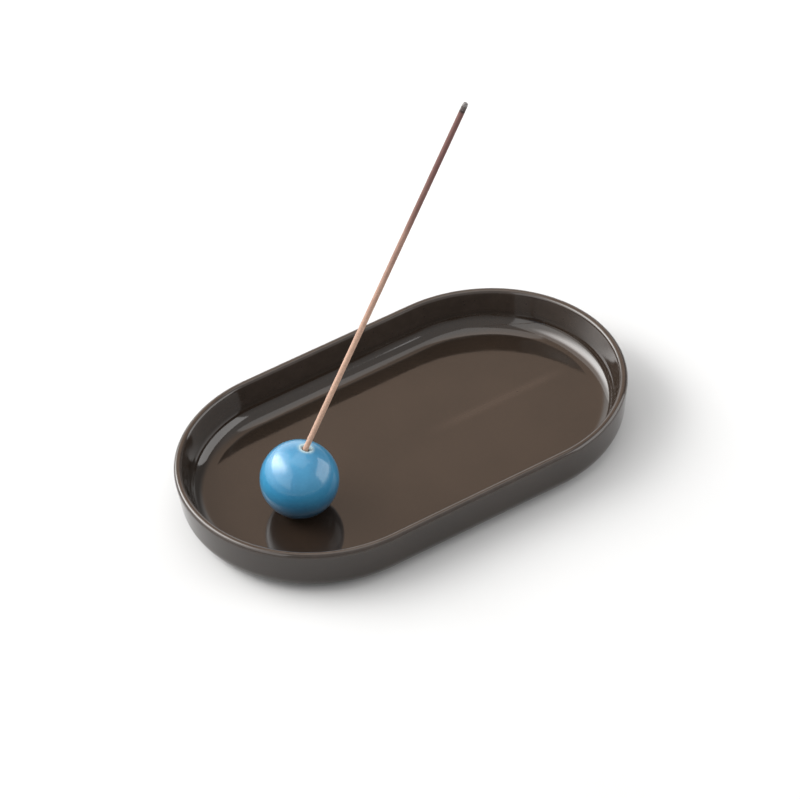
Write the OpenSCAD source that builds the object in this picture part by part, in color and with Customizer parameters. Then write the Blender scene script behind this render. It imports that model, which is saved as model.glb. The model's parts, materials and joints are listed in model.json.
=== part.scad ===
// Incense burner: an oval glazed stoneware ash tray, a loose glazed ball that holds the stick,
// and a coreless incense stick. Millimetres, +Z up. The origin is the middle of the tray on the
// surface it stands on, and +X runs along the tray, away from the ball.

/* [Tray] */
// Length of the tray over the rim
tray_l = 170; // [160:1:190]
// Width of the tray over the rim
tray_w = 100.5; // [95:0.5:110]
// Height of the tray, from the foot ring to the top of the rim
tray_h = 18.5; // [17.5:0.1:22]
// Thickness of the wall at the rounded rim
rim_t = 3; // [2.6:0.1:4]
// How far the wall leans outwards between the base and the rim
wall_draft = 1.1; // [0.6:0.1:1.5]
// Radius of the outside edge between wall and base
base_r = 7.5; // [5:0.5:8.5]
// Radius of the inside corner between wall and floor
inner_r = 7; // [4:0.5:8]
// Thickness of the floor
floor_t = 3.2; // [2.5:0.1:4]
// Depth of the recess inside the foot ring
foot_recess = 0.7; // [0.5:0.1:1]
// Width of the bare foot ring
foot_ring_w = 5; // [3:0.5:5.5]

/* [Tray pads] */
// Diameter of each pad under the tray
pad_d = 9; // [6:0.5:10]
// How far the pads stand below the foot ring
pad_proud = 0.5; // [0.4:0.1:1]
// Distance between the pads along the tray
pad_span_x = 90; // [60:1:92]
// Distance between the pads across the tray
pad_span_y = 44; // [30:1:46]

/* [Ball holder] */
// Diameter of the ball
ball_d = 27.6; // [25:0.1:30]
// Centre of the ball along the tray
ball_x = -45.4; // [-50:0.1:-35]
// Centre of the ball across the tray
ball_y = -4.8; // [-8:0.1:8]
// Diameter of the flat under the ball
ball_flat_d = 11; // [10:0.5:13]
// Diameter of the pad under the ball
ball_pad_d = 8; // [6:0.5:9]
// Thickness of the pad under the ball
ball_pad_t = 1; // [0.8:0.1:1.4]
// How far the ball's pad stands below its flat
ball_pad_proud = 0.4; // [0.3:0.1:0.6]

/* [Stick hole] */
// Compass direction that the stick leans in, from +X
lean_heading = -13; // [-30:1:30]
// Angle of the stick and its hole from upright
lean = 26.8; // [24:0.1:30]
// Angle of the hole's mouth from the top of the ball
mouth_tilt = 14.4; // [10:0.1:18]
// Diameter of the stick hole
hole_d = 2.8; // [2.4:0.1:3.2]
// Depth of the stick hole along its axis
hole_depth = 11.5; // [9:0.5:12]
// Diameter of the bare bevel round the mouth
bevel_d = 4.5; // [4:0.1:5]

/* [Stick] */
// Diameter of the incense stick
stick_d = 2; // [1.8:0.1:2.1]
// Length of the stick from its foot to the charred end
stick_l = 151.8; // [100:0.1:152]
// Length of the charred end
char_l = 2.8; // [1.5:0.1:6]

/* [Hidden] */
$fn = 96;

bevel_depth = 0.7;
pad_edge_r = 0.5;
stick_gap = 0.2;
ball_pad_gap = 0.2;

// Heights above the surface that the tray stands on
base_z = pad_proud;
rim_z = base_z + tray_h;
recess_z = base_z + foot_recess;
floor_z = recess_z + floor_t;

// Circles of the wall's section, as [distance from the centre line, height]. The section is drawn
// for half of the width, so the same outline serves both round ends and the straight middle.
half_w = tray_w / 2;
end_x = (tray_l - tray_w) / 2;
rim_r = rim_t / 2;
rim_c = [half_w - rim_r, rim_z - rim_r];
base_c = [half_w - wall_draft - base_r, base_z + base_r];
corner_c = [half_w - rim_t - wall_draft - inner_r, floor_z + inner_r];
ring_in = base_c[0] - foot_ring_w;

// Ball and hole
ball_r = ball_d / 2;
flat_drop = sqrt(pow(ball_r, 2) - pow(ball_flat_d / 2, 2));
ball_z = floor_z + ball_pad_proud + flat_drop;
ball_c = [ball_x, ball_y, ball_z];

// Unit vector that leans by the angle a from upright, towards lean_heading
function leaning(a) = [sin(a) * cos(lean_heading), sin(a) * sin(lean_heading), cos(a)];

// Direction of the radius at which a straight line touches both circles, on the right-hand side
// looking from c1 to c2. A negative radius puts that circle on the other side of the line.
function touch_angle(c1, r1, c2, r2) =
    atan2(c2[1] - c1[1], c2[0] - c1[0]) - acos((r1 - r2) / norm(c2 - c1));
function contact(c, r, a) = c + r * [cos(a), sin(a)];

// The outside of the wall touches the base circle and the rim circle. The inside touches the rim
// circle and the hollow corner circle, which lie on opposite sides of it.
outer_a = touch_angle(base_c, base_r, rim_c, rim_r);
inner_a = touch_angle(corner_c, inner_r, rim_c, -rim_r);

module at_mouth(a) {
    translate(ball_c + ball_r * leaning(mouth_tilt))
        rotate([0, 0, lean_heading])
            rotate([0, a, 0])
                children();
}

module hollow_section() {
    union() {
        polygon([
            [0, floor_z],
            [corner_c[0], floor_z],
            contact(corner_c, inner_r, inner_a),
            contact(rim_c, -rim_r, inner_a),
            rim_c,
            [rim_c[0], rim_z + 1],
            [0, rim_z + 1]
        ]);
        translate(corner_c) circle(r = inner_r);
    }
}

module body_section() {
    union() {
        polygon([
            [0, recess_z],
            [ring_in, recess_z],
            [ring_in, base_z],
            [base_c[0], base_z],
            contact(base_c, base_r, outer_a),
            contact(rim_c, rim_r, outer_a),
            rim_c,
            [0, rim_c[1]]
        ]);
        translate(base_c) circle(r = base_r);
    }
}

module wall_section() {
    union() {
        difference() {
            body_section();
            hollow_section();
        }
        translate(rim_c) circle(r = rim_r);
    }
}

// One round end, swept half a turn about its own centre
module tray_end(side) {
    translate([side * end_x, 0, 0])
        rotate([0, 0, -90 * side])
            rotate_extrude(angle = 180)
                wall_section();
}

// Half of the straight middle, from the centre line out to one long wall
module tray_side(side) {
    rotate([90, 0, 90 * side])
        translate([0, 0, -end_x])
            linear_extrude(2 * end_x)
                wall_section();
}

module tray() {
    color([0.25, 0.19, 0.15])
        union() {
            for (side = [-1, 1]) {
                tray_end(side);
                tray_side(side);
            }
        }
}

// A self-adhesive pad with a rounded lower edge, bonded into the foot recess
module tray_pad(side_x, side_y) {
    color([0.16, 0.15, 0.15])
        translate([side_x * pad_span_x / 2, side_y * pad_span_y / 2, 0])
            rotate_extrude()
                union() {
                    square([pad_d / 2 - pad_edge_r, recess_z]);
                    translate([0, pad_edge_r]) square([pad_d / 2, recess_z - pad_edge_r]);
                    translate([pad_d / 2 - pad_edge_r, pad_edge_r]) circle(r = pad_edge_r);
                }
}

module holder_ball() {
    color([0.25, 0.56, 0.75])
        difference() {
            translate(ball_c) sphere(r = ball_r);
            // Flat to stand on, with a shallow seat for the pad
            translate([ball_x, ball_y, ball_z - flat_drop - ball_r])
                cylinder(h = ball_r, r = ball_r);
            translate([ball_x, ball_y, ball_z - flat_drop - 1])
                cylinder(h = 1 + ball_pad_t - ball_pad_proud, d = ball_pad_d + 2 * ball_pad_gap);
            // Blind hole for the stick, leaning, with a bevel square to the ball's surface
            at_mouth(lean)
                translate([0, 0, -hole_depth])
                    cylinder(h = hole_depth + ball_r, d = hole_d);
            at_mouth(mouth_tilt)
                translate([0, 0, -bevel_depth])
                    cylinder(h = 2 * bevel_depth, d1 = hole_d, d2 = 2 * bevel_d - hole_d);
        }
}

module ball_pad() {
    color([0.16, 0.15, 0.15])
        translate([ball_x, ball_y, floor_z])
            cylinder(h = ball_pad_t, d = ball_pad_d);
}

module incense_stick() {
    color([0.55, 0.42, 0.38])
        at_mouth(lean)
            translate([0, 0, stick_gap - hole_depth])
                cylinder(h = stick_l, d = stick_d);
}

module charred_tip() {
    color([0.20, 0.19, 0.19])
        at_mouth(lean)
            translate([0, 0, stick_gap - hole_depth + stick_l])
                cylinder(h = char_l, d = stick_d);
}

tray();
tray_pad(-1, -1);  // tray_pad_1
tray_pad(1, -1);  // tray_pad_2
tray_pad(1, 1);  // tray_pad_3
tray_pad(-1, 1);  // tray_pad_4
holder_ball();
ball_pad();
incense_stick();
charred_tip();
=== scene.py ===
"""Incense burner: an oval glazed tray, a glazed ball that stands in it and an incense stick that leans."""
import json
import math

import bmesh
import bpy
from mathutils import Matrix, Vector, noise


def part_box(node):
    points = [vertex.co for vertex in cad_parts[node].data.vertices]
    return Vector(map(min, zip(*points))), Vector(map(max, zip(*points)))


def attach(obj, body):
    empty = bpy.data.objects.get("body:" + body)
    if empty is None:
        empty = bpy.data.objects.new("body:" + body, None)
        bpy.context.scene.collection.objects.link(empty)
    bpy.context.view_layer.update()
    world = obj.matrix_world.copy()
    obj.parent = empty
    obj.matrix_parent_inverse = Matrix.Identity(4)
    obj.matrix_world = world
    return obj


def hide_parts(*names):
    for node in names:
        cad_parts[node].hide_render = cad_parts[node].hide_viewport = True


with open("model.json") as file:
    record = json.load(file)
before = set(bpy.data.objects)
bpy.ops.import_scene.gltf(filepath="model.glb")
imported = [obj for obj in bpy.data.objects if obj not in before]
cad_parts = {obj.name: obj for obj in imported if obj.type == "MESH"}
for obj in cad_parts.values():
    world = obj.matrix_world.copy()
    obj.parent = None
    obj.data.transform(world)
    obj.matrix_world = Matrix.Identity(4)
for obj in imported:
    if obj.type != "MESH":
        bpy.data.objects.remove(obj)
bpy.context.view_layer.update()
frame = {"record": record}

MM = 0.001
UP = Vector((0, 0, 1))

# Shape of the tray's section, as in the CAD model
RIM_R = 1.5 * MM
WALL_DRAFT = 1.1 * MM
BASE_R = 7.5 * MM
INNER_R = 7 * MM
FOOT_RING_W = 5 * MM
FOOT_EDGE_R = 0.25 * MM
# How thin the glaze is on the steep inside wall, where 1 is as thin as over the rim
WALL_THIN = 0.7

# Ball, mouth and hole, as in the CAD model
MOUTH_TILT = math.radians(14.4)
BEVEL_R = 2.25 * MM
BEVEL_DEPTH = 0.7 * MM
HOLE_R = 1.4 * MM
HOLE_DEPTH = 11.5 * MM
BALL_FLAT_R = 5.5 * MM
BALL_SEAT_R = 4.2 * MM
BALL_PAD_T = 1 * MM


# ---------------------------------------------------------------- places taken from the frame

def middle(node):
    """Centre of a node's box."""
    lo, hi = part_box(node)
    return (lo + hi) / 2


def stick_axis():
    """Direction of the stick, from the joint that pulls it out."""
    for joint in frame["record"]["behaviour"]["joints"]:
        if joint["name"] == "stick_pull":
            return Vector(joint["axis"]).normalized()
    raise RuntimeError("the record has no joint stick_pull")


def rod_size(node, axis):
    """Length and radius of a rod along axis, worked out from its box."""
    lo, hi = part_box(node)
    span = hi - lo
    side_x, side_z = math.sqrt(1 - axis.x ** 2), math.sqrt(1 - axis.z ** 2)
    across = axis.x * side_z - axis.z * side_x
    radius = (axis.x * span.z - axis.z * span.x) / (2 * across)
    length = (span.z - 2 * radius * side_z) / axis.z
    return length, radius


TRAY_LO, TRAY_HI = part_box("tray")
HALF_W = TRAY_HI.y
END_X = TRAY_HI.x - HALF_W
BASE_Z = TRAY_LO.z
RIM_Z = TRAY_HI.z
RECESS_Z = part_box("tray_pad_1")[1].z
FLOOR_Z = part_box("ball_pad")[0].z
BALL_LO, BALL_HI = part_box("holder_ball")
BALL_R = (BALL_HI.x - BALL_LO.x) / 2
BALL_C = Vector(((BALL_LO.x + BALL_HI.x) / 2, (BALL_LO.y + BALL_HI.y) / 2, BALL_HI.z - BALL_R))
AXIS = stick_axis()
HEADING = Vector((AXIS.x, AXIS.y, 0)).normalized()


# ---------------------------------------------------------------- mesh helpers

def build(name, verts, faces, marks=None):
    """One mesh object. marks is {attribute name: one value per vertex}."""
    mesh = bpy.data.meshes.new(name)
    mesh.from_pydata([tuple(v) for v in verts], [], faces)
    mesh.validate()
    for key, values in (marks or {}).items():
        layer = mesh.attributes.new(key, "FLOAT", "POINT")
        layer.data.foreach_set("value", values)
    mesh.polygons.foreach_set("use_smooth", [True] * len(mesh.polygons))
    piece = bpy.data.objects.new(name, mesh)
    bpy.context.scene.collection.objects.link(piece)
    return piece


def arc(centre, radius, start, end, steps):
    """Points of an arc in the section plane, angles in degrees."""
    points = []
    for i in range(steps + 1):
        a = math.radians(start + (end - start) * i / steps)
        points.append((centre[0] + radius * math.cos(a), centre[1] + radius * math.sin(a)))
    return points


def line(start, end, steps):
    """Points from start up to, but without, end."""
    return [
        (start[0] + (end[0] - start[0]) * i / steps, start[1] + (end[1] - start[1]) * i / steps)
        for i in range(steps)
    ]


def touch_angle(c1, r1, c2, r2):
    """Angle at which one straight line touches both circles, as in the CAD model."""
    gap = math.hypot(c2[0] - c1[0], c2[1] - c1[1])
    return math.degrees(math.atan2(c2[1] - c1[1], c2[0] - c1[0]) - math.acos((r1 - r2) / gap))


def strip(ring_a, ring_b, size):
    """Quads that join two closed rings of the same size."""
    return [
        (ring_a + i, ring_a + (i + 1) % size, ring_b + (i + 1) % size, ring_b + i) for i in range(size)
    ]


def smoothstep(low, high, value):
    """0 below low, 1 above high, and a soft ramp between them."""
    t = min(max((value - low) / (high - low), 0.0), 1.0)
    return t * t * (3 - 2 * t)


# ---------------------------------------------------------------- materials

class Graph:
    """Adds nodes to one material and joins them."""

    def __init__(self, name):
        self.material = bpy.data.materials.new(name)
        self.material.use_nodes = True
        self.tree = self.material.node_tree
        self.shader = self.tree.nodes["Principled BSDF"]
        self.place = self.add("ShaderNodeTexCoord").outputs["Object"]

    def add(self, kind, **settings):
        node = self.tree.nodes.new(kind)
        for key, value in settings.items():
            setattr(node, key, value)
        return node

    def feed(self, socket, value):
        """Joins value to socket if it is another socket, and sets it otherwise."""
        if isinstance(value, bpy.types.NodeSocket):
            self.tree.links.new(value, socket)
        elif isinstance(value, (tuple, list)) and len(value) == 3 and len(socket.default_value) == 4:
            socket.default_value = (*value, 1.0)
        else:
            socket.default_value = value

    def set(self, **values):
        """Sets the shader's inputs. An underscore in a name stands for a space."""
        for key, value in values.items():
            self.feed(self.shader.inputs[key.replace("_", " ")], value)

    def noise(self, scale, detail=3.0, roughness=0.5, place=None):
        node = self.add("ShaderNodeTexNoise")
        self.feed(node.inputs["Vector"], place or self.place)
        node.inputs["Scale"].default_value = scale
        node.inputs["Detail"].default_value = detail
        node.inputs["Roughness"].default_value = roughness
        return node.outputs["Fac"]

    def cells(self, scale):
        """Distance to the nearest of many scattered points, 0 at a point."""
        node = self.add("ShaderNodeTexVoronoi")
        self.feed(node.inputs["Vector"], self.place)
        node.inputs["Scale"].default_value = scale
        return node.outputs["Distance"]

    def mark(self, name):
        """The value that the mesh carries under this attribute name."""
        return self.add("ShaderNodeAttribute", attribute_name=name).outputs["Fac"]

    def axes(self):
        """The three coordinates of the place, in metres."""
        node = self.add("ShaderNodeSeparateXYZ")
        self.feed(node.inputs[0], self.place)
        return node.outputs

    def sum(self, kind, a, b=0.0):
        """Arithmetic on one or two numbers. kind is one of Blender's names, such as MULTIPLY."""
        node = self.add("ShaderNodeMath", operation=kind)
        self.feed(node.inputs[0], a)
        self.feed(node.inputs[1], b)
        return node.outputs[0]

    def range(self, value, low, high, to_low=0.0, to_high=1.0):
        """Maps low..high to to_low..to_high with soft ends."""
        node = self.add("ShaderNodeMapRange", interpolation_type="SMOOTHSTEP")
        for socket, number in zip(node.inputs[:5], (value, low, high, to_low, to_high)):
            self.feed(socket, number)
        return node.outputs["Result"]

    def specks(self, scale, near, far):
        """1 in small round specks and 0 between them."""
        return self.sum("SUBTRACT", 1.0, self.range(self.cells(scale), near, far))

    def ragged(self, name, scale, detail, spread):
        """A mark whose edge is broken up by noise."""
        broken = self.sum("SUBTRACT", self.noise(scale, detail, 0.6), 0.5)
        return self.sum("ADD", self.mark(name), self.sum("MULTIPLY", broken, spread))

    def blend(self, amount, a, b):
        """Number a where amount is 0 and number b where it is 1."""
        node = self.add("ShaderNodeMix", data_type="FLOAT")
        self.feed(node.inputs[0], amount)
        self.feed(node.inputs[2], a)
        self.feed(node.inputs[3], b)
        return node.outputs[0]

    def mix(self, amount, a, b):
        """Colour a where amount is 0 and colour b where it is 1."""
        node = self.add("ShaderNodeMix", data_type="RGBA")
        self.feed(node.inputs[0], amount)
        self.feed(node.inputs[6], a)
        self.feed(node.inputs[7], b)
        return node.outputs[2]

    def bump(self, height, distance, strength=1.0, below=None):
        """A relief of the height's pattern, distance deep, on top of the normal below."""
        node = self.add("ShaderNodeBump")
        self.feed(node.inputs["Height"], height)
        node.inputs["Distance"].default_value = distance
        node.inputs["Strength"].default_value = strength
        if below is not None:
            self.feed(node.inputs["Normal"], below)
        return node.outputs["Normal"]


# Bare clay of the tray and of the ball
STONEWARE_PALE = (0.50, 0.41, 0.31)
STONEWARE_DARK = (0.36, 0.28, 0.20)
PORCELAIN_PALE = (0.36, 0.47, 0.51)
PORCELAIN_DARK = (0.27, 0.37, 0.41)


def clay_colour(g, dark, pale):
    """Bare fired clay, between dark and pale, with darker grains."""
    tone = g.mix(g.noise(420, 5, 0.65), dark, pale)
    grog = g.range(g.cells(1500), 0.10, 0.22)
    return g.mix(grog, tuple(0.5 * part for part in dark), tone)


def painted_caustic_streak(g):
    """Painted light: 1 along a faint pale streak painted into the floor's glaze beside the tray's centre
    line, where light focused by the curved end wall falls.
    """
    x, y, z = g.axes()
    away = g.sum("ABSOLUTE", g.sum("SUBTRACT", y, 1.3 * MM))
    band = g.range(away, 0.2 * MM, 3.0 * MM, 1.0, 0.0)
    run = g.sum("MULTIPLY", g.range(x, 6 * MM, 30 * MM), g.range(x, 58 * MM, 72 * MM, 1.0, 0.0))
    on_floor = g.range(z, FLOOR_Z - 2 * MM, FLOOR_Z - 1 * MM)
    return g.sum("MULTIPLY", g.sum("MULTIPLY", band, run), on_floor)


def tray_glaze():
    """Dark brown, thinner and paler over the rim and wall, with a painted light streak on the floor and
    bare clay on the foot ring.
    """
    g = Graph("dark_brown_glaze")
    cloudy = g.range(g.noise(38, 4, 0.55), 0.35, 0.68)
    colour = g.mix(cloudy, (0.0175, 0.0118, 0.0082), (0.0215, 0.0143, 0.0100))
    fine = g.range(g.noise(700, 3, 0.6), 0.42, 0.72)
    colour = g.mix(g.sum("MULTIPLY", fine, 0.30), colour, (0.0290, 0.0185, 0.0120))
    # Painted light: a faint pale streak on the floor, standing in for light that the curved end wall
    # focuses there.
    colour = g.mix(g.sum("MULTIPLY", painted_caustic_streak(g), 0.33), colour, (0.050, 0.034, 0.026))
    thin = g.sum("MULTIPLY", g.mark("thin"), g.range(g.noise(240, 4, 0.6), 0.25, 0.75, 0.35, 1.0))
    colour = g.mix(g.sum("MULTIPLY", thin, 0.40), colour, (0.056, 0.040, 0.032))
    speck = g.specks(330, 0.05, 0.13)
    colour = g.mix(g.sum("MULTIPLY", speck, 0.5), colour, (0.006, 0.004, 0.003))
    bare = g.range(g.ragged("bare", 160, 4, 0.5), 0.44, 0.56)
    colour = g.mix(bare, colour, clay_colour(g, STONEWARE_DARK, STONEWARE_PALE))
    rough = g.blend(bare, g.range(g.noise(120, 4, 0.6), 0.3, 0.75, 0.055, 0.11), 0.82)
    wave = g.bump(g.noise(55, 2, 0.4), 0.00016, 0.35)
    peel = g.bump(g.noise(420, 2, 0.5), 0.000012, 0.5, wave)
    grain = g.bump(g.sum("MULTIPLY", g.noise(2600, 3, 0.7), bare), 0.00008, 1.0, peel)
    g.set(Base_Color=colour, Roughness=rough, IOR=1.52, Normal=grain)
    return g.material


def ball_glaze():
    """Sky blue, with painted shade darkening its lower half towards the foot, and thin and pale at the
    mouth.
    """
    g = Graph("sky_blue_glaze")
    cloudy = g.range(g.noise(95, 4, 0.55), 0.3, 0.7)
    colour = g.mix(cloudy, (0.023, 0.168, 0.312), (0.030, 0.196, 0.350))
    fine = g.range(g.noise(900, 3, 0.6), 0.45, 0.75)
    colour = g.mix(g.sum("MULTIPLY", fine, 0.25), colour, (0.050, 0.238, 0.412))
    height = g.axes()[2]
    # Painted shade: the ball is darkened by height over its lower half, where little light reaches it.
    painted_shade_low = g.range(height, BALL_C.z - 0.50 * BALL_R, BALL_C.z + 0.30 * BALL_R, 0.9, 0.0)
    colour = g.mix(painted_shade_low, colour, (0.030, 0.092, 0.165))
    speck = g.specks(520, 0.04, 0.12)
    colour = g.mix(g.sum("MULTIPLY", speck, 0.30), colour, (0.016, 0.080, 0.180))
    thin = g.sum("MULTIPLY", g.mark("thin"), g.range(g.noise(500, 4, 0.6), 0.2, 0.8, 0.5, 1.0))
    colour = g.mix(thin, colour, (0.26, 0.40, 0.46))
    bare = g.range(g.ragged("bare", 700, 3, 0.4), 0.42, 0.58)
    colour = g.mix(bare, colour, clay_colour(g, PORCELAIN_DARK, PORCELAIN_PALE))
    rough = g.blend(bare, g.range(g.noise(260, 3, 0.6), 0.3, 0.75, 0.09, 0.13), 0.85)
    wave = g.bump(g.noise(110, 2, 0.4), 0.00006, 0.3)
    peel = g.bump(g.noise(700, 2, 0.5), 0.000008, 0.5, wave)
    grain = g.bump(g.sum("MULTIPLY", g.noise(3200, 3, 0.7), bare), 0.00006, 1.0, peel)
    g.set(Base_Color=colour, Roughness=rough, IOR=1.42, Normal=grain)
    g.set(Coat_Weight=g.sum("SUBTRACT", 0.6, g.sum("MULTIPLY", bare, 0.6)), Coat_Roughness=0.38)
    return g.material


def pad_rubber():
    """Dark matte rubber with worn patches and a little dust."""
    g = Graph("dark_pad_rubber")
    worn = g.range(g.noise(900, 4, 0.6), 0.35, 0.7)
    colour = g.mix(worn, (0.018, 0.018, 0.019), (0.040, 0.039, 0.038))
    dust = g.range(g.noise(5200, 2, 0.7), 0.66, 0.76)
    colour = g.mix(g.sum("MULTIPLY", dust, 0.3), colour, (0.22, 0.20, 0.18))
    grain = g.bump(g.noise(4200, 3, 0.6), 0.00003, 0.8)
    g.set(Base_Color=colour, Roughness=g.range(worn, 0, 1, 0.62, 0.8), Normal=grain)
    return g.material


def incense():
    """Pressed wood powder, darker towards the top. The piece's own Z runs along the stick from its
    middle, and the mark scorch is 1 at the burnt end."""
    g = Graph("pressed_incense")
    stretch = g.add("ShaderNodeMapping", vector_type="POINT")
    g.feed(stretch.inputs["Vector"], g.place)
    stretch.inputs["Scale"].default_value = (1.0, 1.0, 0.06)
    streak = g.noise(3200, 4, 0.6, stretch.outputs[0])
    powder = g.noise(2600, 5, 0.75)
    height = g.axes()[2]
    uneven = g.sum("MULTIPLY", g.sum("SUBTRACT", g.noise(60, 3, 0.5), 0.5), 0.05)
    # The colour darkens towards the top of the stick.
    top_darkening = g.range(g.sum("ADD", height, uneven), -0.030, 0.055)
    colour = g.mix(top_darkening, (0.530, 0.350, 0.260), (0.135, 0.068, 0.062))
    colour = g.mix(g.range(powder, 0.35, 0.7), g.mix(0.45, colour, (0.10, 0.050, 0.043)), colour)
    pale = g.sum("MULTIPLY", g.range(g.noise(5200, 3, 0.7), 0.58, 0.72), g.range(top_darkening, 0, 1, 0.5, 0.2))
    colour = g.mix(pale, colour, (0.50, 0.36, 0.28))
    scorch = g.range(g.sum("ADD", g.mark("scorch"), g.sum("MULTIPLY", powder, 0.25)), 0.35, 1.1)
    colour = g.mix(scorch, colour, (0.035, 0.026, 0.024))
    ridges = g.bump(streak, 0.00004, 0.9)
    rough = g.bump(powder, 0.00007, 0.9, ridges)
    g.set(Base_Color=colour, Roughness=0.88, Normal=rough)
    g.shader.inputs["Specular IOR Level"].default_value = 0.3
    return g.material


def char():
    """Burnt end: dark char with grey ash in patches."""
    g = Graph("charred_incense")
    ash = g.range(g.sum("ADD", g.noise(1900, 4, 0.7), g.sum("MULTIPLY", g.mark("ash"), 0.12)), 0.50, 0.72)
    colour = g.mix(ash, (0.075, 0.060, 0.057), (0.27, 0.26, 0.255))
    crumbs = g.bump(g.noise(3800, 4, 0.75), 0.00012, 1.0)
    g.set(Base_Color=colour, Roughness=0.92, Normal=crumbs)
    g.shader.inputs["Specular IOR Level"].default_value = 0.2
    return g.material


def finish(piece, material, body, slot, *nodes):
    """Gives a piece its material and its body, and hides the CAD nodes that it stands for. slot is not
    used.
    """
    piece.data.materials.append(material)
    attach(piece, body)
    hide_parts(*nodes)


# ---------------------------------------------------------------- tray

def tray_section():
    """Outline of half of the tray's section, from the middle of the floor over the rim to the middle
    underneath. Each point is (distance from the centre line, height, thin, bare): thin is 1 where the
    glaze thins out over an edge, and bare is 1 where the clay has no glaze."""
    rim_c = (HALF_W - RIM_R, RIM_Z - RIM_R)
    base_c = (HALF_W - WALL_DRAFT - BASE_R, BASE_Z + BASE_R)
    corner_c = (HALF_W - 2 * RIM_R - WALL_DRAFT - INNER_R, FLOOR_Z + INNER_R)
    outer = touch_angle(base_c, BASE_R, rim_c, RIM_R)
    inner = touch_angle(corner_c, INNER_R, rim_c, -RIM_R)
    ring_in = base_c[0] - FOOT_RING_W

    corner = arc(corner_c, INNER_R, -90, inner, 18)
    crest = arc(rim_c, RIM_R, inner + 180, outer, 22)
    heel = arc(base_c, BASE_R, outer, -90, 18)
    lip = arc((ring_in + FOOT_EDGE_R, BASE_Z + FOOT_EDGE_R), FOOT_EDGE_R, -90, -180, 4)

    points = []
    points += [(r, z, 0, 0) for r, z in line((0, FLOOR_Z), corner[0], 16)]
    points += [(r, z, 0, 0) for r, z in corner]
    points += [(r, z, WALL_THIN, 0) for r, z in line(corner[-1], crest[0], 5)[1:]]
    for i, (r, z) in enumerate(crest):
        over = math.sin(math.pi * i / (len(crest) - 1)) ** 2
        points.append((r, z, WALL_THIN + (1 - WALL_THIN) * over, 0))
    points += [(r, z, 0, 0) for r, z in line(crest[-1], heel[0], 6)[1:]]
    for i, (r, z) in enumerate(heel):
        points.append((r, z, 0, smoothstep(0.86, 1.0, i / (len(heel) - 1))))
    points += [(r, z, 0, 1) for r, z in line(heel[-1], lip[0], 6)[1:]]
    points += [(r, z, 0, 1) for r, z in lip]
    points += [(r, z, 0, 1 - i / 3) for i, (r, z) in enumerate(line(lip[-1], (ring_in, RECESS_Z), 2)[1:])]
    points += [(r, z, 0, 0) for r, z in line((ring_in, RECESS_Z), (0, RECESS_Z), 12)]
    points.append((0, RECESS_Z, 0, 0))
    return points


def tray_stations(straight_steps, end_steps):
    """Places round the tray, as (point on the centre line, outward direction)."""
    stations = []
    for side in (1, -1):
        for i in range(end_steps):
            a = math.pi * (i / end_steps - 0.5) + (0 if side == 1 else math.pi)
            stations.append((Vector((side * END_X, 0, 0)), Vector((math.cos(a), math.sin(a), 0))))
        for i in range(straight_steps):
            x = side * END_X * (1 - 2 * i / straight_steps)
            stations.append((Vector((x, 0, 0)), Vector((0, side, 0))))
    return stations


def tray_shell(material):
    """The tray: its section, swept round the whole outline."""
    section = tray_section()
    stations = tray_stations(40, 96)
    verts, faces, thin, bare = [], [], [], []
    for centre, outward in stations:
        for r, z, is_thin, is_bare in section:
            point = centre + outward * r + UP * z
            verts.append(point)
            thin.append(is_thin)
            bare.append(is_bare)
    rows, size = len(section), len(stations)
    for s in range(size):
        here, there = s * rows, ((s + 1) % size) * rows
        for k in range(rows - 1):
            faces.append((here + k, here + k + 1, there + k + 1, there + k))
    piece = build("tray_shell", verts, faces, {"thin": thin, "bare": bare})
    weld(piece)
    wander(piece)
    finish(piece, material, "tray", "tray_glaze", "tray")


def weld(piece):
    """Joins the points that fall together on the centre line, and drops the faces that close up."""
    mesh = bmesh.new()
    mesh.from_mesh(piece.data)
    bmesh.ops.remove_doubles(mesh, verts=mesh.verts, dist=1e-6)
    bmesh.ops.dissolve_degenerate(mesh, edges=mesh.edges, dist=1e-7)
    bmesh.ops.recalc_face_normals(mesh, faces=mesh.faces)
    mesh.to_mesh(piece.data)
    mesh.free()


def wander(piece):
    """Lets the cast wall wander inwards by a few hundredths of a millimetre, but not the flat faces."""
    depth = 0.05 * MM
    normals = [vert.normal.copy() for vert in piece.data.vertices]
    for vert, normal in zip(piece.data.vertices, normals):
        lift = smoothstep(FLOOR_Z + 1 * MM, FLOOR_Z + 5 * MM, vert.co.z)
        amount = 0.5 + 0.5 * noise.noise(vert.co * 45)
        vert.co -= normal * depth * lift * amount


# ---------------------------------------------------------------- ball

def mouth_frame(tilt):
    """Turns +Z to lean by tilt towards the stick's heading."""
    return Matrix.Rotation(tilt, 3, UP.cross(HEADING))


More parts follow.
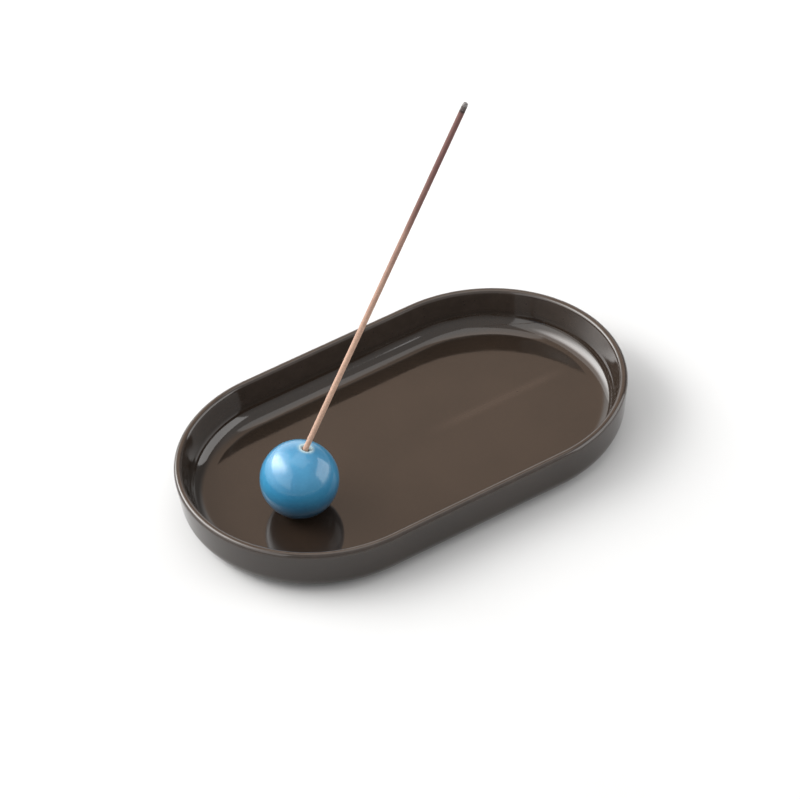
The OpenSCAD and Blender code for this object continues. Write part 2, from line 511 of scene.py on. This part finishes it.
def ball_shell(material):
    """The ball, as rings whose axis turns from upright at the equator to the mouth's at the top."""
    size = 128
    verts, faces, thin, bare = [], [], [], []

    def ring(centre, turn, radius, rise, is_thin, is_bare):
        first = len(verts)
        for i in range(size):
            a = 2 * math.pi * i / size
            verts.append(centre + turn @ Vector((radius * math.cos(a), radius * math.sin(a), rise)))
            thin.append(is_thin)
            bare.append(is_bare)
        if first:
            faces.extend(strip(first - size, first, size))

    def cap():
        first = len(verts) - size
        faces.append(tuple(range(first, first + size)))

    flat_z = -math.sqrt(BALL_R ** 2 - BALL_FLAT_R ** 2)
    seat_z = FLOOR_Z + BALL_PAD_T - BALL_C.z
    upright = Matrix.Identity(3)
    mouth = mouth_frame(MOUTH_TILT)
    hole_tilt = math.acos(AXIS.z)
    hole = mouth_frame(hole_tilt)

    # Underside: the pad's seat, then the bare flat with a rounded edge
    ring(BALL_C, upright, 0.3 * MM, seat_z, 0, 1)
    faces.append(tuple(reversed(range(size))))
    for r in (2.2 * MM, BALL_SEAT_R - 0.15 * MM):
        ring(BALL_C, upright, r, seat_z, 0, 1)
    ring(BALL_C, upright, BALL_SEAT_R, seat_z - 0.1 * MM, 0, 1)
    ring(BALL_C, upright, BALL_SEAT_R, flat_z + 0.12 * MM, 0, 1)
    ring(BALL_C, upright, BALL_SEAT_R + 0.1 * MM, flat_z, 0, 1)
    ring(BALL_C, upright, (BALL_SEAT_R + BALL_FLAT_R) / 2, flat_z, 0, 1)
    ring(BALL_C, upright, BALL_FLAT_R - 0.35 * MM, flat_z, 0, 1)
    ring(BALL_C, upright, BALL_FLAT_R - 0.02 * MM, flat_z + 0.10 * MM, 0, 1)

    # Glazed sphere
    start = math.pi - math.asin(BALL_FLAT_R / BALL_R) - math.radians(1.6)
    end = math.asin(BEVEL_R / BALL_R)
    steps = 84
    for i in range(steps + 1):
        polar = start + (end - start) * i / steps
        turn = mouth_frame(MOUTH_TILT * smoothstep(math.radians(112), math.radians(42), polar))
        near_mouth = 1 - smoothstep(end, end + math.radians(7), polar)
        near_flat = smoothstep(start - math.radians(5), start, polar)
        swell = 0.05 * MM * math.sin(math.pi * near_mouth) - 0.06 * MM * smoothstep(0.8, 1.0, near_mouth)
        r = BALL_R + min(swell, 0.05 * MM)
        is_bare = max(smoothstep(0.9, 1.0, near_mouth), smoothstep(0.3, 1.0, near_flat))
        ring(BALL_C, turn, r * math.sin(polar), r * math.cos(polar), near_mouth ** 2, is_bare)

    # Bare bevel, then the blind hole, whose axis leans more than the bevel's
    mouth_point = BALL_C + mouth @ Vector((0, 0, BALL_R))
    rim_drop = BALL_R - BALL_R * math.cos(end)
    for t in (0.35, 0.7, 1.0):
        turn = mouth_frame(MOUTH_TILT + (hole_tilt - MOUTH_TILT) * t)
        drop = rim_drop + (BEVEL_DEPTH - rim_drop) * t
        ring(mouth_point, turn, BEVEL_R + (HOLE_R - BEVEL_R) * t, -drop, 0, 1)
    for depth in (1.2, 2.5, 4.5, 7.0, 9.5, 11.0):
        ring(mouth_point, hole, HOLE_R, -depth * MM, 0, 1)
    ring(mouth_point, hole, 0.5 * HOLE_R, -HOLE_DEPTH, 0, 1)
    cap()

    piece = build("ball_shell", verts, faces, {"thin": thin, "bare": bare})
    finish(piece, material, "holder", "ball_glaze", "holder_ball")


# ---------------------------------------------------------------- pads

def lathe(name, profile, size=96):
    """A closed solid of revolution about Z from (radius, height) points, from the bottom to the top."""
    verts, faces = [], []
    for radius, height in profile:
        first = len(verts)
        for i in range(size):
            a = 2 * math.pi * i / size
            verts.append((radius * math.cos(a), radius * math.sin(a), height))
        if first:
            faces.extend(strip(first - size, first, size))
    faces.append(tuple(reversed(range(size))))
    faces.append(tuple(range(len(verts) - size, len(verts))))
    return build(name, verts, faces)


def pad(node, body, edge_r, material):
    """A stick-on pad: a film of glue on top, a rounded edge and a moulded ring in its lower face."""
    lo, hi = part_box(node)
    centre = (lo + hi) / 2
    radius, height = (hi.x - lo.x) / 2, hi.z - lo.z
    groove_r, groove_w, groove_h = 0.62 * radius, 0.35 * MM, 0.12 * MM
    profile = [(0.05 * MM, 0), (groove_r - groove_w, 0), (groove_r - 0.3 * groove_w, groove_h)]
    profile += [(groove_r + 0.3 * groove_w, groove_h), (groove_r + groove_w, 0)]
    profile += arc((radius - edge_r, edge_r), edge_r, -90, 0, 8)
    film = 0.12 * MM
    profile += [(radius, height - film - 0.05 * MM), (radius - 0.12 * MM, height - film)]
    profile += [(radius - 0.10 * MM, height), (0.05 * MM, height)]
    piece = lathe(node + "_moulded", profile)
    piece.location = (centre.x, centre.y, lo.z)
    bpy.context.view_layer.update()
    finish(piece, material, body, "pad_rubber", node)


# ---------------------------------------------------------------- incense stick

def rod(name, node, steps, size, waver, end_round, mark):
    """A rod along the stick's axis, built upright and then leaned. waver(height, angle) is how far the
    skin lies inside the rod's radius. mark is (attribute name, function of the share of the length)."""
    length, radius = rod_size(node, AXIS)
    verts, faces, values = [], [], []
    shares = [0.0] + [i / steps for i in range(steps + 1)] + [1.0]
    for k, share in enumerate(shares):
        first = len(verts)
        capped = k in (0, len(shares) - 1)
        inset = end_round if k in (1, len(shares) - 2) else 0.0
        for i in range(size):
            a = 2 * math.pi * i / size
            r = 0.35 * radius if capped else radius - inset - waver(share * length, a)
            height = length * (share - 0.5)
            verts.append((r * math.cos(a), r * math.sin(a), height))
            values.append(mark[1](share))
        if first:
            faces.extend(strip(first - size, first, size))
    faces.append(tuple(reversed(range(size))))
    faces.append(tuple(range(len(verts) - size, len(verts))))
    piece = build(name, verts, faces, {mark[0]: values})
    level = UP.cross(HEADING)
    lean = Matrix((level.cross(AXIS), level, AXIS)).transposed().to_4x4()
    piece.matrix_world = Matrix.Translation(middle(node)) @ lean
    bpy.context.view_layer.update()
    return piece


def incense_stick(material):
    """The unburnt stick, with a skin that wavers by a few hundredths of a millimetre."""
    def waver(height, a):
        spot = Vector((math.cos(a), math.sin(a), height / (1.2 * MM)))
        return 0.03 * MM * (0.5 + 0.5 * noise.noise(spot * 1.7))

    scorch = ("scorch", lambda share: smoothstep(0.990, 1.0, share))
    piece = rod("stick_body", "incense_stick", 380, 32, waver, 0.06 * MM, scorch)
    finish(piece, material, "stick", "incense", "incense_stick")


def charred_tip(material):
    """The burnt end: crumbly, and narrower towards its tip."""
    length, radius = rod_size("charred_tip", AXIS)

    def waver(height, a):
        spot = Vector((math.cos(a), math.sin(a), height / (0.7 * MM)))
        taper = 0.16 * radius * smoothstep(0.6, 1.0, height / length)
        return taper + 0.12 * MM * (0.5 + 0.5 * noise.noise(spot * 2.1))

    ash = ("ash", lambda share: smoothstep(0.3, 0.9, share))
    piece = rod("stick_char", "charred_tip", 26, 40, waver, 0.10 * MM, ash)
    finish(piece, material, "stick", "char", "charred_tip")


# ---------------------------------------------------------------- floor, light and camera

# Just below the pads' faces, so that the two don't fall together
STAGE_Z = -0.05 * MM


def stage_floor():
    """A wide pale floor under the pads."""
    g = Graph("pale_floor")
    grey = g.range(g.noise(9, 3, 0.5), 0.3, 0.7, 0.57, 0.59)
    join = g.add("ShaderNodeCombineColor")
    for i in range(3):
        g.feed(join.inputs[i], grey)
    g.set(Base_Color=join.outputs[0], Roughness=0.9)
    g.shader.inputs["Specular IOR Level"].default_value = 0.1
    half, cells = 3.0, 12
    row = cells + 1
    spots = [half * (2 * i / cells - 1) for i in range(row)]
    verts = [(x, y, STAGE_Z) for y in spots for x in spots]
    faces = [
        (j * row + i, j * row + i + 1, (j + 1) * row + i + 1, (j + 1) * row + i)
        for j in range(cells) for i in range(cells)
    ]
    floor = build("pale_floor", verts, faces)
    floor.data.materials.append(g.material)


def panel(name, centre, aim, width, height, radiance):
    """A soft rectangular light at centre that faces the point aim."""
    light = bpy.data.lights.new(name, "AREA")
    light.shape = "RECTANGLE"
    light.size = width
    light.size_y = height
    light.energy = radiance * math.pi * width * height
    light.color = (1.0, 0.995, 0.985)
    lamp = bpy.data.objects.new(name, light)
    away = Vector(centre) - Vector(aim)
    lamp.matrix_world = Matrix.Translation(centre) @ away.to_track_quat("Z", "Y").to_matrix().to_4x4()
    lamp.visible_camera = False
    bpy.context.scene.collection.objects.link(lamp)
    return light


def glow(light, middle_share, reach, turn, times):
    """Lamps behind the cloth: an oval area of a panel that is up to times as bright as the rest. It lies
    round middle_share of the width and height, and fades out at reach, turned by the angle turn."""
    light.use_nodes = True
    tree = light.node_tree
    place = tree.nodes.new("ShaderNodeNewGeometry").outputs["Parametric"]
    size = (light.size, light.size_y)

    def vector(operation, source, second):
        node = tree.nodes.new("ShaderNodeVectorMath")
        node.operation = operation
        tree.links.new(source, node.inputs[0])
        node.inputs[1].default_value = second
        return node.outputs[0]

    metres = vector("MULTIPLY", place, (*size, 0))
    offset = vector("SUBTRACT", metres, (middle_share[0] * size[0], middle_share[1] * size[1], 0))
    rotate = tree.nodes.new("ShaderNodeVectorRotate")
    rotate.rotation_type = "Z_AXIS"
    tree.links.new(offset, rotate.inputs["Vector"])
    rotate.inputs["Angle"].default_value = turn
    shares = vector("DIVIDE", rotate.outputs[0], (reach[0], reach[1], 1))
    away = tree.nodes.new("ShaderNodeVectorMath")
    away.operation = "LENGTH"
    tree.links.new(shares, away.inputs[0])
    fade = tree.nodes.new("ShaderNodeMapRange")
    fade.interpolation_type = "SMOOTHERSTEP"
    tree.links.new(away.outputs["Value"], fade.inputs["Value"])
    fade.inputs["To Min"].default_value = times
    fade.inputs["To Max"].default_value = 1.0
    tree.links.new(fade.outputs["Result"], tree.nodes["Emission"].inputs["Strength"])


def room():
    """Sets the world: an even soft room. In the glaze it mirrors as pale low behind the object, warm
    higher up, dimmer in front and dark at the far right. The camera sees white."""
    world = bpy.data.worlds.new("studio_room")
    bpy.context.scene.world = world
    world.use_nodes = True
    tree = world.node_tree
    split = tree.nodes.new("ShaderNodeSeparateXYZ")
    tree.links.new(tree.nodes.new("ShaderNodeTexCoord").outputs["Generated"], split.inputs[0])

    def ramp(axis, low, high):
        """0 to 1 as a direction's part along an axis rises from low to high."""
        node = tree.nodes.new("ShaderNodeMapRange")
        node.interpolation_type = "SMOOTHSTEP"
        tree.links.new(split.outputs[axis], node.inputs["Value"])
        node.inputs["From Min"].default_value = low
        node.inputs["From Max"].default_value = high
        return node.outputs["Result"]

    def pick(amount, a, b):
        """Colour a where amount is 0 and colour b where it is 1."""
        node = tree.nodes.new("ShaderNodeMix")
        node.data_type = "RGBA"
        tree.links.new(amount, node.inputs[0])
        for socket, value in ((node.inputs[6], a), (node.inputs[7], b)):
            if isinstance(value, bpy.types.NodeSocket):
                tree.links.new(value, socket)
            else:
                socket.default_value = (*value, 1.0)
        return node.outputs[2]

    back = pick(ramp("Z", 0.42, 0.62), (1.80, 1.75, 1.70), (1.15, 0.88, 0.71))
    front = pick(ramp("Z", 0.05, 0.50), (0.50, 0.50, 0.50), (0.80, 0.80, 0.80))
    mirrored = pick(ramp("Y", -0.30, 0.45), front, back)
    mirrored = pick(ramp("X", 0.58, 0.88), mirrored, (0.30, 0.30, 0.30))
    ray = tree.nodes.new("ShaderNodeLightPath")
    colour = pick(ray.outputs["Is Glossy Ray"], (0.58, 0.58, 0.58), mirrored)
    colour = pick(ray.outputs["Is Camera Ray"], colour, (1, 1, 1))
    tree.links.new(colour, tree.nodes["Background"].inputs["Color"])


def studio_light():
    """A large cloth panel with lamps behind it at the left, a low panel at the right, a bank overhead
    and the room."""
    left = panel("left_panel", (-0.57, 0.26, 0.90), (0.0, -0.05, 0.90), 2.14, 1.40, 1.5)
    glow(left, (0.36, 0.22), (1.05, 0.50), math.radians(-41), 7.2)
    panel("right_panel", (0.56, -0.31, 0.26), (-0.04, 0.0, 0.06), 0.72, 0.48, 2.8)
    panel("overhead_bank", (0.12, 0.05, 1.05), (0.0, 0.0, 0.0), 0.84, 0.70, 1.25)
    room()
    bpy.context.scene.view_settings.view_transform = "Standard"


def camera():
    """Looks down on the tray from its near left, slightly rolled, through a long lens."""
    azimuth, elevation, roll = math.radians(-29.912), math.radians(41.275), math.radians(-4.257)
    distance, across, above = 1.4167, -0.001888, 0.019947
    back = Vector((
        math.sin(azimuth) * math.cos(elevation),
        -math.cos(azimuth) * math.cos(elevation),
        math.sin(elevation),
    ))
    level = Vector((math.cos(azimuth), math.sin(azimuth), 0))
    upward = back.cross(level)
    right = math.cos(roll) * level + math.sin(roll) * upward
    top = -math.sin(roll) * level + math.cos(roll) * upward
    data = bpy.data.cameras.new("camera")
    data.lens = 180.92
    data.sensor_width = 36
    data.clip_end = 50
    eye = bpy.data.objects.new("camera", data)
    place = Matrix((right, top, back)).transposed().to_4x4()
    place.translation = back * distance + right * across + top * above
    eye.matrix_world = place
    bpy.context.scene.collection.objects.link(eye)
    bpy.context.scene.camera = eye


camera()
stage_floor()
studio_light()
tray_shell(tray_glaze())
ball_shell(ball_glaze())
rubber = pad_rubber()
for number in range(1, 5):
    pad("tray_pad_%d" % number, "tray", 0.5 * MM, rubber)
pad("ball_pad", "holder_foot", 0.15 * MM, rubber)
incense_stick(incense())
charred_tip(char())
